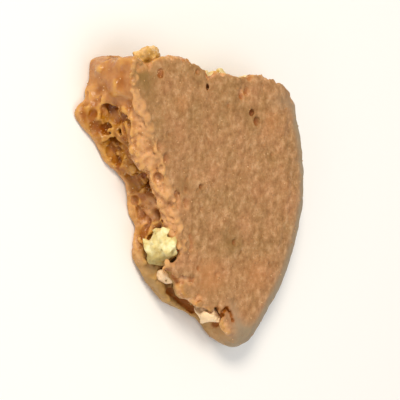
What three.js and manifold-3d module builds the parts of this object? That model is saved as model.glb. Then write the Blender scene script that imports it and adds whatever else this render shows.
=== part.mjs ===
// Freeze-dried peanut brittle: one hand-broken piece of a poured slab, lying on its flat underside.
// Millimetres, +Z up, origin under the middle of the piece. The long broken side, with the honeycomb
// and the nuts, faces -Y, the poured round rim faces +Y, and the short broken side faces -X.
import * as THREE from "three";
import { mergeVertices } from "three/addons/utils/BufferGeometryUtils.js";
import Module from "manifold-3d";

const wasm = await Module();
wasm.setup();

// Slab
const THICK_END = 13.4; // at the corner between the two broken sides
const THIN_END = 8.6; // at the tip and the rim, where the poured slab thins out
const THICK_CORNER = [-27, -34];
const SLOPE_LENGTH = 66; // from the thick corner to where the slab is thinnest
const SWELL = 0.45; // height of the slow waves of the skin
const SWELL_LENGTH = 14;

// Poured rim
const RIM_RADIUS = 42; // of the poured edge, seen from above
const RIM_CENTRE = [-3.2, -24.2];
const RIM_ARC = [0.83, 1.92]; // angles on that circle where the arc starts and ends
const RIM_STEPS = 6;
const RIM_TOP_ROUND = 6.5; // how far in the top starts to fall
const RIM_FOOT_ROUND = 2.4;
const RIM_BELLY = 0.4; // share of the height at which the rim reaches furthest out
const TIP = [
  [31, -2.4],
  [30.6, 2],
];
const FAR_CORNER = [
  [-20.6, 14.2],
  [-23.4, 9.6],
];

// Broken sides, from the far corner by the thick corner to the tip: the lip of the lower crust, and
// the edge of the skin above it
const LIP_EDGE = [
  [-23.2, -1],
  [-23.8, -11.5],
  [-26.6, -22],
  [-28.4, -30.4],
  [-26, -34.8],
  [-22.4, -35.6],
  [-16, -38.5],
  [-11.2, -35],
  [-5.6, -30],
  [-1.4, -25.8],
  [5, -24.6],
  [11.6, -24.4],
  [16, -22.4],
  [21.6, -17.2],
  [24.6, -9.8],
];
const SKIN_EDGE = [
  [-24.2, -1.6],
  [-25.4, -14],
  [-27.5, -22],
  [-26.4, -27.6],
  [-26.6, -33.8],
  [-22.6, -34.9],
  [-13.6, -30.6],
  [-7, -27.2],
  [-0.4, -23.6],
  [6.4, -20.8],
  [10.2, -21.2],
  [14, -22.8],
  [18.4, -18.6],
  [21.6, -15],
  [24.6, -9.6],
];
const HEART = [-4, -8]; // all edges are in plain sight from this point
const RIM_FROM = [0.02, 0.2]; // directions from the heart over which the break turns to rim
const BREAK_FROM = [2.06, 2.58]; // and over which the rim turns to break again
const LONG_SIDE_FROM = 4; // direction of the thick corner, where the long broken side starts
const CRUST = 1.3; // thickness of the dense layers below and above the honeycomb
const BAND_FROM = [5.36, 5.66]; // directions over which the lower crust swells to a band by the tip
const BAND_HEIGHT = 3.5;
const BAND_ROUND = 1.1;
const RECESS = 1.5; // how far the honeycomb breaks back behind the two crusts
const LOBE_DIRECTION = 4.08; // the solid lobe beside the thick corner, where nothing breaks back
const LOBE_HALF_WIDTH = [0.07, 0.19];
const LOBE_BULGE = 0.7;
const CRAG = 0.8; // height of the uneven break
const CRAG_LENGTH = 3.4;
const EDGE_CHIP = 0.3; // how sharp the broken edges of the crusts are

// Mesh of the slab: corners round each ring, and the rings across the skin and the foot as
// [share of the way out, corners]
const CORNERS = 120;
const CRUST_LAYERS = 3;
const FOAM_LAYERS = 4;
const SIDE_LAYERS = 2 * CRUST_LAYERS + FOAM_LAYERS;
const SKIN_RINGS = [
  [0.93, 110],
  [0.8, 84],
  [0.64, 62],
  [0.46, 42],
  [0.26, 22],
];
const FOOT_RINGS = [
  [0.4, 20],
  [0.8, 60],
];

// Honeycomb. Large cells of the long broken side: distance along X, height, and half sizes along, in
// and up. Small ones follow by rule, on both broken sides but clear of the solid lobe
const CELLS = [
  { x: -8.3, height: 3.6, size: [3.1, 2.6, 1.6] },
  { x: -9.6, height: 6.8, size: [1.5, 1.8, 1.3] },
  { x: -17, height: 5.6, size: [1.7, 2, 1.5] },
  { x: -14.4, height: 9, size: [1.6, 1.8, 1.3] },
  { x: -2.8, height: 4.6, size: [2, 2, 1.9] },
  { x: 3.2, height: 4, size: [1.7, 1.6, 1.5] },
  { x: 20, height: 5.4, size: [4.4, 2.8, 1.4] },
];
const SMALL_CELLS = 36;
const SMALL_CELL_RADIUS = [0.9, 1.8];
const CELL_SPACING = 0.86; // least distance between two cells, as a share of their radii
const CELL_SEED = 20;
const MOST_TRIES = 4000;

// Pinholes in the skin: x, y, radius, and the share of the radius that the centre lies above the skin
const PINHOLES = [
  [-15.8, -1.3, 1.5, 0.35],
  [-12, -24.6, 1, 0.55],
  [-1.2, -18.9, 1.1, 0.6],
  [8.2, 0.4, 1, 0.6],
  [-24.6, -13.6, 1.3, 0.3],
  [15.4, 5.2, 0.9, 0.6],
  [-6.4, 7.4, 0.9, 0.6],
  [9, -6.4, 1.9, 0.75],
];

// Peanuts in the broken sides: centre, half sizes along, deep and up, the turn about Z that points
// the nut's broken face outwards, and the tilt about that face's own normal
const NUTS = [
  { name: "peanut_front", at: [10.2, -22.2, 6.9], half: [4.2, 3.6, 3.7], turn: 4, tilt: 18 },
  { name: "peanut_sliver", at: [16.4, -19.9, 5], half: [1.9, 1.3, 1.2], turn: 40, tilt: -24 },
  { name: "peanut_tip", at: [24.4, -9.8, 5.6], half: [3.1, 2.6, 2.3], turn: 52, tilt: -20 },
  { name: "peanut_corner", at: [-27.8, -27.4, 9.6], half: [2.7, 3, 2.6], turn: -78, tilt: 24 },
  { name: "peanut_back", at: [-23.7, -8.2, 5.6], half: [4.9, 3.5, 3.2], turn: -84, tilt: -12 },
  { name: "peanut_back_small", at: [-23, 2.8, 6], half: [3.4, 2.7, 2.4], turn: -92, tilt: 32 },
];
const NUT_GAP = 0.3; // between a nut and its pocket
const NUT_BREAK = 0.5; // the broken face stands this share of the depth in front of the centre
const NUT_UNEVEN = 0.1;
const NUT_DETAIL = 3;

const BRITTLE_COLOUR = 0xb58659;
const NUT_COLOUR = 0xe2c88c;

const { lerp, smoothstep, degToRad } = THREE.MathUtils;

// Repeatable random numbers from 0 to 1
function randomSource(seed) {
  let state = seed;
  return () => {
    state = (state * 1664525 + 1013904223) % 2 ** 32;
    return state / 2 ** 32;
  };
}

// Value between 0 and 1 that belongs to one corner of a cubic lattice
function latticeValue(i, j, k) {
  const spread = Math.sin(i * 127.1 + j * 311.7 + k * 74.7) * 43758.5453;
  return spread - Math.floor(spread);
}

// Smooth uneven value between -1 and 1, with bumps about one unit long
function uneven(x, y, z) {
  const base = [x, y, z].map(Math.floor);
  const [u, v, w] = [x, y, z].map((value, axis) => smoothstep(value - base[axis], 0, 1));
  let sum = 0;
  for (let corner = 0; corner < 8; corner++) {
    const [a, b, c] = [corner & 1, (corner >> 1) & 1, corner >> 2];
    const weight = (a ? u : 1 - u) * (b ? v : 1 - v) * (c ? w : 1 - w);
    sum += weight * latticeValue(base[0] + a, base[1] + b, base[2] + c);
  }
  return 2 * sum - 1;
}

// Closed outline, anticlockwise from the tip: the tip and the rim, which both outlines share, and
// then the points of a broken edge
function outline(brokenEdge) {
  const arc = [];
  for (let i = 0; i <= RIM_STEPS; i++) {
    const angle = lerp(RIM_ARC[0], RIM_ARC[1], i / RIM_STEPS);
    arc.push([
      RIM_CENTRE[0] + RIM_RADIUS * Math.cos(angle),
      RIM_CENTRE[1] + RIM_RADIUS * Math.sin(angle),
    ]);
  }
  const points = [...TIP, ...arc, ...FAR_CORNER, ...brokenEdge];
  return new THREE.CatmullRomCurve3(
    points.map(([x, y]) => new THREE.Vector3(x - HEART[0], y - HEART[1], 0)),
    true,
    "centripetal",
  );
}

const lipOutline = outline(LIP_EDGE);
const skinOutline = outline(SKIN_EDGE);
const fullTurn = (angle) => (angle + 2 * Math.PI) % (2 * Math.PI);
const skinSamples = skinOutline
  .getSpacedPoints(8 * CORNERS)
  .map((p) => ({ angle: fullTurn(Math.atan2(p.y, p.x)), radius: Math.hypot(p.x, p.y) }))
  .sort((a, b) => a.angle - b.angle);

// Distance from the heart to the skin's edge in one direction
function skinRadius(angle) {
  const after = skinSamples.findIndex((s) => s.angle > angle);
  if (after < 1) return skinSamples[0].radius;
  const [a, b] = [skinSamples[after - 1], skinSamples[after]];
  return lerp(a.radius, b.radius, (angle - a.angle) / Math.max(b.angle - a.angle, 1e-9));
}

// Everything about the edge at a share of the way round: direction, both radii, how broken it is,
// from 0 on the poured rim to 1 on a broken side, and how far it belongs to the lobe and the band
function edgeAt(share) {
  const lip = lipOutline.getPointAt(share);
  const angle = fullTurn(Math.atan2(lip.y, lip.x));
  return {
    angle,
    lip: Math.hypot(lip.x, lip.y),
    skin: skinRadius(angle),
    broken: 1 - smoothstep(angle, ...RIM_FROM) + smoothstep(angle, ...BREAK_FROM),
    lobe: 1 - smoothstep(Math.abs(angle - LOBE_DIRECTION), ...LOBE_HALF_WIDTH),
    band: angle < BREAK_FROM[0] ? 1 : smoothstep(angle, ...BAND_FROM),
  };
}

// Height of the skin above the rest plane
function skinHeight(x, y) {
  const away = Math.hypot(x - THICK_CORNER[0], y - THICK_CORNER[1]);
  const slab = lerp(THICK_END, THIN_END, smoothstep(away, 0, SLOPE_LENGTH));
  return slab + SWELL * uneven(x / SWELL_LENGTH, y / SWELL_LENGTH, 0.5);
}

function place(edge, radius, height) {
  return [
    HEART[0] + radius * Math.cos(edge.angle),
    HEART[1] + radius * Math.sin(edge.angle),
    height,
  ];
}

// Poured rim: a flat foot, a belly and a long round shoulder
function rimPoint(edge, share, top) {
  const lift = lerp(-Math.PI / 2, Math.PI / 2, share);
  const belly = top * RIM_BELLY;
  const round = lift < 0 ? RIM_FOOT_ROUND : RIM_TOP_ROUND;
  const rise = lift < 0 ? belly : top - belly;
  return [edge.lip - round * (1 - Math.cos(lift)), belly + rise * Math.sin(lift)];
}

// Broken side: lower crust, honeycomb that breaks back, and the skin's crust
function breakPoint(edge, layer, top) {
  const crust = lerp(CRUST, BAND_HEIGHT, edge.band);
  const round = lerp(EDGE_CHIP, BAND_ROUND, edge.band);
  const crustLayers = [
    [edge.lip - round, 0],
    [edge.lip, round],
    [edge.lip - edge.band * EDGE_CHIP, crust],
  ];
  const skinLayers = [
    [edge.skin, top - CRUST],
    [edge.skin, top - EDGE_CHIP],
    [edge.skin - EDGE_CHIP, top],
  ];
  if (layer < CRUST_LAYERS) return crustLayers[layer];
  if (layer >= CRUST_LAYERS + FOAM_LAYERS) return skinLayers[layer - CRUST_LAYERS - FOAM_LAYERS];
  const share = (layer - CRUST_LAYERS + 1) / (FOAM_LAYERS + 1);
  const recess = lerp(RECESS, -LOBE_BULGE, edge.lobe) * Math.sin(Math.PI * share);
  return [lerp(edge.lip, edge.skin, share) - recess, lerp(crust, top - CRUST, share)];
}

function sidePoint(edge, layer) {
  const [x, y] = place(edge, edge.skin, 0);
  const top = skinHeight(x, y);
  const rim = rimPoint(edge, layer / (SIDE_LAYERS - 1), top);
  const broken = breakPoint(edge, layer, top);
  const height = lerp(rim[1], broken[1], edge.broken);
  const point = place(edge, lerp(rim[0], broken[0], edge.broken), height);
  const crag = edge.broken * CRAG * uneven(...point.map((c) => c / CRAG_LENGTH));
  const radius = Math.hypot(point[0] - HEART[0], point[1] - HEART[1]) + crag;
  return place(edge, radius, height);
}

// Slab without its cells: rings from the middle of the foot, up the sides, to the middle of the skin
function slabGeometry() {
  const points = [];
  const faces = [];
  const addRing = (count, pointAt) =>
    Array.from({ length: count }, (_, k) => points.push(pointAt(edgeAt(k / count))) - 1);
  const inwards = (edge, layer, share) => {
    const [x, y] = sidePoint(edge, layer);
    return [lerp(HEART[0], x, share), lerp(HEART[1], y, share)];
  };
  const rings = [
    ...FOOT_RINGS.map(([share, count]) => addRing(count, (e) => [...inwards(e, 0, share), 0])),
    ...Array.from({ length: SIDE_LAYERS }, (_, layer) =>
      addRing(CORNERS, (e) => sidePoint(e, layer)),
    ),
    ...SKIN_RINGS.map(([share, count]) =>
      addRing(count, (e) => {
        const [x, y] = inwards(e, SIDE_LAYERS - 1, share);
        return [x, y, skinHeight(x, y)];
      }),
    ),
  ];
  rings.slice(1).forEach((ring, i) => stitch(faces, rings[i], ring));
  const footMiddle = points.push([...HEART, 0]) - 1;
  const skinMiddle = points.push([...HEART, skinHeight(...HEART)]) - 1;
  closeRing(faces, rings[0], footMiddle, true);
  closeRing(faces, rings.at(-1), skinMiddle, false);
  return new THREE.BufferGeometry()
    .setAttribute("position", new THREE.Float32BufferAttribute(points.flat(), 3))
    .setIndex(faces);
}

// Band of triangles between two rings, which may differ in their number of corners
function stitch(faces, first, second) {
  let [i, j] = [0, 0];
  while (i < first.length || j < second.length) {
    const [a, b] = [first[i % first.length], second[j % second.length]];
    if ((i + 1) / first.length <= (j + 1) / second.length) {
      faces.push(a, first[++i % first.length], b);
    } else {
      faces.push(a, second[++j % second.length], b);
    }
  }
}

function closeRing(faces, ring, middle, below) {
  ring.forEach((corner, k) => {
    const next = ring[(k + 1) % ring.length];
    faces.push(middle, ...(below ? [next, corner] : [corner, next]));
  });
}

// Places in the honeycomb of the two broken sides, clear of the lobe, each with its edge
function foamPlaces() {
  const places = [];
  for (let k = 0; k < CORNERS; k++) {
    const edge = edgeAt(k / CORNERS);
    for (let layer = 0; layer < FOAM_LAYERS && edge.broken === 1 && edge.lobe === 0; layer++) {
      places.push({ edge, centre: sidePoint(edge, CRUST_LAYERS + layer) });
    }
  }
  return places;
}

function ball(size, centre, turn = 0) {
  const detail = Math.max(...size) > 1.5 ? 2 : 1;
  return new THREE.IcosahedronGeometry(1, detail).applyMatrix4(
    new THREE.Matrix4().compose(
      new THREE.Vector3(...centre),
      new THREE.Quaternion().setFromAxisAngle(new THREE.Vector3(0, 0, 1), turn),
      new THREE.Vector3(...size),
    ),
  );
}

// Cells of the honeycomb that the break has opened
function cellGeometries() {
  const places = foamPlaces();
  const longSide = places.filter(({ edge }) => edge.angle > LONG_SIDE_FROM);
  const cells = CELLS.map(({ x, height, size }) => {
    const miss = ({ centre }) => Math.hypot(centre[0] - x, centre[2] - height);
    const { edge, centre } = longSide.reduce((a, b) => (miss(a) < miss(b) ? a : b));
    return { centre, size, turn: edge.angle + Math.PI / 2 };
  });
  const nuts = NUTS.map((nut) => ({ centre: nut.at, size: nut.half }));
  const random = randomSource(CELL_SEED);
  for (let tries = 0; cells.length < CELLS.length + SMALL_CELLS && tries < MOST_TRIES; tries++) {
    const { centre } = places[Math.floor(random() * places.length)];
    const radius = lerp(...SMALL_CELL_RADIUS, random() ** 2);
    const crowded = [...cells, ...nuts].some((other) => {
      const apart = Math.hypot(...centre.map((c, axis) => c - other.centre[axis]));
      return apart < CELL_SPACING * (radius + Math.cbrt(other.size[0] * other.size[1] * other.size[2]));
    });
    if (!crowded) cells.push({ centre, size: [radius, radius, radius], turn: 0 });
  }
  return cells.map(({ centre, size, turn }) => ball(size, centre, turn));
}

function pinholeGeometries() {
  return PINHOLES.map(([x, y, radius, rise]) =>
    ball([radius, radius, radius], [x, y, skinHeight(x, y) + rise * radius]),
  );
}

// Half kernel with its outer face broken off flat, or the pocket that it sits in
function nutGeometry({ at, half, turn, tilt }, gap = 0) {
  const geometry = new THREE.IcosahedronGeometry(1, NUT_DETAIL);
  const corners = geometry.attributes.position;
  const size = half.map((h) => h + gap);
  for (let i = 0; i < corners.count; i++) {
    const way = [corners.getX(i), corners.getY(i), corners.getZ(i)];
    const swell = 1 + NUT_UNEVEN * uneven(...way.map((w, axis) => 1.6 * w + at[axis]));
    const [x, y, z] = way.map((w, axis) => w * swell * size[axis]);
    const face = -NUT_BREAK * size[1] * (1 + NUT_UNEVEN * uneven(x / 2, z / 2, at[0]));
    corners.setXYZ(i, x, Math.max(y, face), z);
  }
  geometry.rotateY(degToRad(tilt));
  geometry.rotateZ(degToRad(turn));
  return geometry.translate(...at);
}

function solidOf(geometry) {
  const bare = geometry.clone().deleteAttribute("normal").deleteAttribute("uv");
  const merged = mergeVertices(bare, 1e-3);
  return new wasm.Manifold(
    new wasm.Mesh({
      numProp: 3,
      vertProperties: new Float32Array(merged.attributes.position.array),
      triVerts: new Uint32Array(merged.index.array),
    }),
  );
}

function geometryOf(solid) {
  const { vertProperties, triVerts } = solid.getMesh();
  return new THREE.BufferGeometry()
    .setAttribute("position", new THREE.BufferAttribute(vertProperties, 3))
    .setIndex(new THREE.BufferAttribute(triVerts, 1));
}

// Slab less its cells, pinholes and pockets. Its largest shell alone is kept, so that a cell which
// the break has not opened is filled, and a loose scrap is dropped
function brittleGeometry() {
  const cuts = [
    ...cellGeometries(),
    ...pinholeGeometries(),
    ...NUTS.map((nut) => nutGeometry(nut, NUT_GAP)),
  ];
  const cut = cuts.reduce((solid, g) => solid.subtract(solidOf(g)), solidOf(slabGeometry()));
  return geometryOf(cut.decompose().reduce((a, b) => (a.volume() > b.volume() ? a : b)));
}

function named(name, geometry, color, roughness) {
  geometry.computeVertexNormals();
  const material = new THREE.MeshStandardMaterial({ color, roughness, metalness: 0 });
  const mesh = new THREE.Mesh(geometry, material);
  mesh.name = name;
  return mesh;
}

const piece = new THREE.Group();
piece.add(named("brittle", brittleGeometry(), BRITTLE_COLOUR, 0.75));
for (const nut of NUTS) piece.add(named(nut.name, nutGeometry(nut), NUT_COLOUR, 0.6));

// The origin is moved under the middle of the piece
const bounds = new THREE.Box3().setFromObject(piece);
const middle = bounds.getCenter(new THREE.Vector3());
piece.position.set(-middle.x, -middle.y, -bounds.min.z);

export default piece;
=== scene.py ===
"""Freeze-dried peanut brittle: one hand-broken piece of an aerated sugar slab with half peanuts.

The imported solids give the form. Each is turned into a fine grid of distances to its surface, where
the bubbles of the break are opened and the skin gets its relief, and then back into a mesh."""

import math

import bmesh
import bpy
import numpy as np
import openvdb as vdb
from mathutils import Matrix, Vector


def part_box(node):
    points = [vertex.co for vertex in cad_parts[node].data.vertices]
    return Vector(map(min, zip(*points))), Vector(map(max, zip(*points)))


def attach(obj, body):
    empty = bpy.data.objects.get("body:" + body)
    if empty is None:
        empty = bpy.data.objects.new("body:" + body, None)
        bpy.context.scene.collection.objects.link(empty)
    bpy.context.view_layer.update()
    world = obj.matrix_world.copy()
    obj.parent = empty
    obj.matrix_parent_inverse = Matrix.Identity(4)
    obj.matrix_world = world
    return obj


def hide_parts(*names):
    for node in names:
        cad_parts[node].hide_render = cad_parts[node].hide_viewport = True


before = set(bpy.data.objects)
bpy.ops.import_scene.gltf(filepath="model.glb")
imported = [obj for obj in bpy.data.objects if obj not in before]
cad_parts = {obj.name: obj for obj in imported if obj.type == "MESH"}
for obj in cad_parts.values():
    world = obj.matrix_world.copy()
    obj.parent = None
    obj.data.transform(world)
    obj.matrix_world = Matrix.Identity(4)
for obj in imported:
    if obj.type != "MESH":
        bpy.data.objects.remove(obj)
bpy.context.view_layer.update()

MM = 0.001

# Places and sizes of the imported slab, in millimetres. The frame's origin is under the middle of the
# piece, which lies at MIDDLE in the slab's own drawing
MIDDLE = (0.808, -10.408)
HEART = (-4 - MIDDLE[0], -8 - MIDDLE[1])  # point that directions are measured from
THICK_CORNER = (-27 - MIDDLE[0], -34 - MIDDLE[1])
THICK_END, THIN_END = 13.4, 8.6  # height of the skin at that corner, and far from it
SLOPE_LENGTH = 66  # way over which the skin comes down
SWELL, SWELL_LENGTH = 0.45, 14  # height and length of the skin's slow waves
RIM_FROM = (0.02, 0.2)  # directions, in radians, over which the break turns to poured rim
BREAK_FROM = (2.06, 2.58)  # and over which the rim turns to break again
FRONT_FROM = (3.95, 4.15)  # directions over which the long front break begins
LOBE_DIRECTION = 4.1  # of the solid lobe beside the thick corner
LOBE_HALF_WIDTH = (0.11, 0.19)
BAND_FROM = (5.36, 5.66)  # directions over which the lower crust swells to a band by the tip
EDGE_TURN = 0.39  # of the long broken edge from the X axis, in radians
VIEW = math.radians(50)  # how steeply the camera looks down, along +Y


def smoothstep(value, low, high):
    share = np.clip((value - low) / (high - low), 0, 1)
    return share * share * (3 - 2 * share)


def lattice_value(i, j, k):
    """Fixed random value, from 0 to 1, of a point of the lattice that the waves hang on. The packed
    slab has the same, so its numbers stay as they are"""
    spread = np.sin(i * 127.1 + j * 311.7 + k * 74.7) * 43758.5453
    return spread - np.floor(spread)


def swell(x, y):
    """The slow waves of the skin, from -1 to 1"""
    u, v = (x + MIDDLE[0]) / SWELL_LENGTH, (y + MIDDLE[1]) / SWELL_LENGTH
    i, j = np.floor(u), np.floor(v)
    near_x, near_y = smoothstep(u - i, 0, 1), smoothstep(v - j, 0, 1)
    total = 0
    for a, b, c in np.ndindex(2, 2, 2):
        weight = (near_x if a else 1 - near_x) * (near_y if b else 1 - near_y) * 0.5
        total = total + weight * lattice_value(i + a, j + b, c)
    return 2 * total - 1


def skin_height(x, y):
    """Height of the skin over the tray"""
    away = np.hypot(x - THICK_CORNER[0], y - THICK_CORNER[1])
    share = smoothstep(away, 0, SLOPE_LENGTH)
    return THICK_END + (THIN_END - THICK_END) * share + SWELL * swell(x, y)


class Field:
    """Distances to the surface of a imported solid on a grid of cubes, in millimetres and negative
    inside"""

    REACH = 12  # cubes on either side of the surface that hold a distance
    SIGHT = 30  # how far either way a line of sight is followed, in millimetres

    def __init__(self, node, cube):
        points, triangles = read_mesh(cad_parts[node].data)
        grid = vdb.FloatGrid.createLevelSetFromPolygons(
            points, triangles=triangles, transform=vdb.createLinearTransform(cube),
            halfWidth=self.REACH,
        )
        first, last = grid.evalActiveVoxelBoundingBox()
        self.cube = cube
        self.unevenness = None  # makes bubbles less round, where it is an array
        self.first = np.array(first)
        self.values = np.empty(np.array(last) - self.first + 1, np.float32)
        grid.copyToArray(self.values, ijk=tuple(first))

    def places(self):
        """X, Y and Z of the cubes, as arrays that spread over each other"""
        return [
            ((np.arange(n, dtype=np.float32) + self.first[axis]) * self.cube).reshape(
                [-1 if a == axis else 1 for a in range(3)]
            )
            for axis, n in enumerate(self.values.shape)
        ]

    def sight(self):
        """X and distance across the camera's view of the cubes, both in the slab's own drawing"""
        x, y, z = self.places()
        return x + MIDDLE[0], (y + MIDDLE[1]) * math.sin(VIEW) + z * math.cos(VIEW)

    def sample(self, values, points):
        """Values of another array on the same grid, read at points between the cubes"""
        at = points / self.cube - self.first
        low = np.clip(np.floor(at).astype(int), 0, np.array(values.shape) - 2)
        part = at - low
        total = 0
        for corner in np.ndindex(2, 2, 2):
            weight = np.prod(np.where(corner, part, 1 - part), axis=1)
            total = total + weight * values[tuple((low + corner).T)]
        return total

    def outward(self, points):
        """Directions away from the material at points on the surface"""
        steps = np.eye(3) * 1.5 * self.cube
        slope = [
            self.sample(self.values, points + step) - self.sample(self.values, points - step)
            for step in steps
        ]
        slope = np.stack(slope, axis=1)
        return slope / np.maximum(np.linalg.norm(slope, axis=1, keepdims=True), 1e-6)

    def seen(self, x, across, middle=None):
        """Point of the surface that the camera sees at X and at a distance across its view, both
        in the slab's own drawing, or the point of that line of sight nearest to a middle"""
        across -= MIDDLE[1] * math.sin(VIEW)
        depth = np.arange(-self.SIGHT, self.SIGHT, 0.5 * self.cube)
        points = np.stack(
            (
                np.full(len(depth), x - MIDDLE[0]),
                across * math.sin(VIEW) + depth * math.cos(VIEW),
                across * math.cos(VIEW) - depth * math.sin(VIEW),
            ),
            axis=1,
        )
        inside = (points / self.cube > self.first).all(axis=1)
        inside &= (points / self.cube < self.first + self.values.shape - 1).all(axis=1)
        hit = np.zeros(len(points), bool)
        hit[inside] = self.sample(self.values, points[inside]) < 0
        if hit.any():
            return points[np.argmax(hit)]
        assert middle is not None, "nothing shows at that place"
        return points[np.argmin(np.linalg.norm(points - middle, axis=1))]

    def cut(self, centre, sizes, softness, turn=0.0):
        """Takes an egg-shaped bubble out, with an edge as soft as the given distance"""
        self._merge(centre, sizes, softness, turn, 1)

    def add(self, centre, sizes, softness, turn=0.0):
        """Puts an egg-shaped lump on"""
        self._merge(centre, sizes, softness, turn, -1)

    def _merge(self, centre, sizes, softness, turn, sign):
        """Blends an egg in, turned by an angle seen from above"""
        sizes = np.array(sizes, float)
        centre = np.array(centre, float)
        reach = sizes.max() + softness + 2 * self.cube
        low = np.floor((centre - reach) / self.cube).astype(int) - self.first
        high = np.ceil((centre + reach) / self.cube).astype(int) - self.first + 1
        low, high = np.maximum(low, 0), np.minimum(high, self.values.shape)
        if (high <= low).any():
            return
        x, y, z = [
            (np.arange(low[a], high[a]) + self.first[a]) * self.cube - centre[a] for a in range(3)
        ]
        x, y, z = x[:, None, None], y[None, :, None], z[None, None, :]
        along = x * math.cos(turn) + y * math.sin(turn)
        across = y * math.cos(turn) - x * math.sin(turn)
        distance = np.sqrt((along / sizes[0]) ** 2 + (across / sizes[1]) ** 2 + (z / sizes[2]) ** 2)
        distance = (distance - 1) * sizes.min()
        box = tuple(slice(a, b) for a, b in zip(low, high))
        if self.unevenness is not None:
            distance = distance + self.unevenness[box]
        here = sign * self.values[box]
        blend = np.clip(1 - np.abs(here + distance) / softness, 0, 1)
        self.values[box] = sign * (np.maximum(here, -distance) + blend * blend * softness / 4)

    def mesh(self):
        """Corners, in millimetres, and quads of the surface"""
        grid = vdb.FloatGrid()
        grid.transform = vdb.createLinearTransform(self.cube)
        grid.background = 3.0  # outside
        grid.copyFromArray(self.values.astype(np.float32), ijk=tuple(self.first))
        points, _, quads = grid.convertToPolygons(0.0, 0.0)
        return points, quads


def blur(values, cubes):
    """Gaussian blur by a number of cubes along each axis"""
    reach = math.ceil(2.5 * cubes)
    steps = np.arange(-reach, reach + 1)
    weights = np.exp(-0.5 * (steps / cubes) ** 2)
    weights /= weights.sum()
    for axis in (axis for axis in range(3) if values.shape[axis] > 1):
        pad = [(reach, reach) if a == axis else (0, 0) for a in range(3)]
        wide = np.pad(values, pad, mode="edge")
        size = values.shape[axis]
        values = np.zeros_like(values, np.float32)
        for k, weight in enumerate(weights.astype(np.float32)):
            values += weight * wide[
                tuple(slice(k, k + size) if a == axis else slice(None) for a in range(3))
            ]
    return values


def spline_weights(count, spacing):
    """Weights of cubic splines, a number of cubes apart, at each cube of a row"""
    at = np.arange(count) / spacing
    base = np.floor(at).astype(int)
    t = at - base
    weights = np.zeros((count, base.max() + 4), np.float32)
    parts = ((1 - t) ** 3, 3 * t**3 - 6 * t**2 + 4, -3 * t**3 + 3 * t**2 + 3 * t + 1, t**3)
    for k, part in enumerate(parts):
        weights[np.arange(count), base + k] = part / 6
    return weights


def lumps(shape, spacing, seed):
    """Smooth random lumps over a grid, a given number of cubes apart, with a spread of 1"""
    rows = [spline_weights(count, spacing) for count in shape]
    random = np.random.default_rng(seed)
    values = random.standard_normal([w.shape[1] for w in rows]).astype(np.float32)
    values = np.einsum("ia,jb,kc,abc->ijk", *rows, values, optimize=True)
    return values / values.std()


def spread_out(points, radii, spacing):
    """Indices of points kept in order so that none crowds one that is already kept"""
    cell = 2 * max(radii) * spacing
    kept, near = [], {}
    for index, (point, radius) in enumerate(zip(points, radii)):
        home = tuple(np.floor(point / cell).astype(int))
        around = [
            other
            for step in np.ndindex(3, 3, 3)
            for other in near.get(tuple(np.array(home) + step - 1), ())
        ]
        if all(
            np.sum((point - points[other]) ** 2) > (spacing * (radius + radii[other])) ** 2
            for other in around
        ):
            kept.append(index)
            near.setdefault(home, []).append(index)
    return kept


def read_mesh(mesh):
    """Corners, in millimetres, and triangles"""
    corners = np.empty(len(mesh.vertices) * 3, np.float32)
    mesh.vertices.foreach_get("co", corners)
    mesh.calc_loop_triangles()
    triangles = np.empty(len(mesh.loop_triangles) * 3, np.int32)
    mesh.loop_triangles.foreach_get("vertices", triangles)
    return corners.reshape(-1, 3) / MM, triangles.reshape(-1, 3)


def new_object(name, data):
    """Object in the scene, at its origin"""
    thing = bpy.data.objects.new(name, data)
    bpy.context.scene.collection.objects.link(thing)
    return thing


def drop_islands(mesh):
    """Leaves only the largest connected part of a mesh"""
    _, triangles = read_mesh(mesh)
    part, before = np.arange(len(mesh.vertices)), None
    while before is None or (part != before).any():
        before = part.copy()
        lowest = part[triangles].min(axis=1)
        for k in range(3):
            np.minimum.at(part, triangles[:, k], lowest)
        part = part[part]
    stray = part != np.bincount(part).argmax()
    if stray.any():
        shape = bmesh.new()
        shape.from_mesh(mesh)
        loose = [corner for corner, away in zip(shape.verts, stray) if away]
        bmesh.ops.delete(shape, geom=loose, context="VERTS")
        shape.to_mesh(mesh)
        shape.free()


def weld(mesh):
    """Makes corners that have come together one"""
    shape = bmesh.new()
    shape.from_mesh(mesh)
    bmesh.ops.remove_doubles(shape, verts=shape.verts, dist=0.001 * MM)
    shape.to_mesh(mesh)
    shape.free()


def make_piece(name, field, most):
    """Piece with a field's surface, thinned to a number of triangles where it is plain"""
    points, quads = field.mesh()
    mesh = bpy.data.meshes.new(name)
    mesh.from_pydata((points * MM).tolist(), [], quads.tolist())
    mesh.update()
    piece = new_object(name, mesh)
    modifier = piece.modifiers.new("thin", "DECIMATE")
    modifier.ratio = min(1.0, most / (2 * len(quads)))
    modifier.use_collapse_triangulate = True
    depsgraph = bpy.context.evaluated_depsgraph_get()
    piece.data = bpy.data.meshes.new_from_object(piece.evaluated_get(depsgraph))
    piece.modifiers.clear()
    bpy.data.meshes.remove(mesh)
    piece.data.name = name
    piece.data.polygons.foreach_set("use_smooth", [True] * len(piece.data.polygons))
    drop_islands(piece.data)
    return piece


def write_attribute(piece, name, values):
    """Number on each corner, or the same on all, that the piece's material reads"""
    attribute = piece.data.attributes.new(name, "FLOAT", "POINT")
    attribute.data.foreach_set("value", np.full(len(attribute.data), values, np.float32))


# Width of the grids' cubes, in millimetres, and triangles that are left of each surface
SLAB_CUBE, SLAB_TRIANGLES = 0.2, 195000
NUT_CUBE, NUT_TRIANGLES = 0.1, 24000

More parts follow.
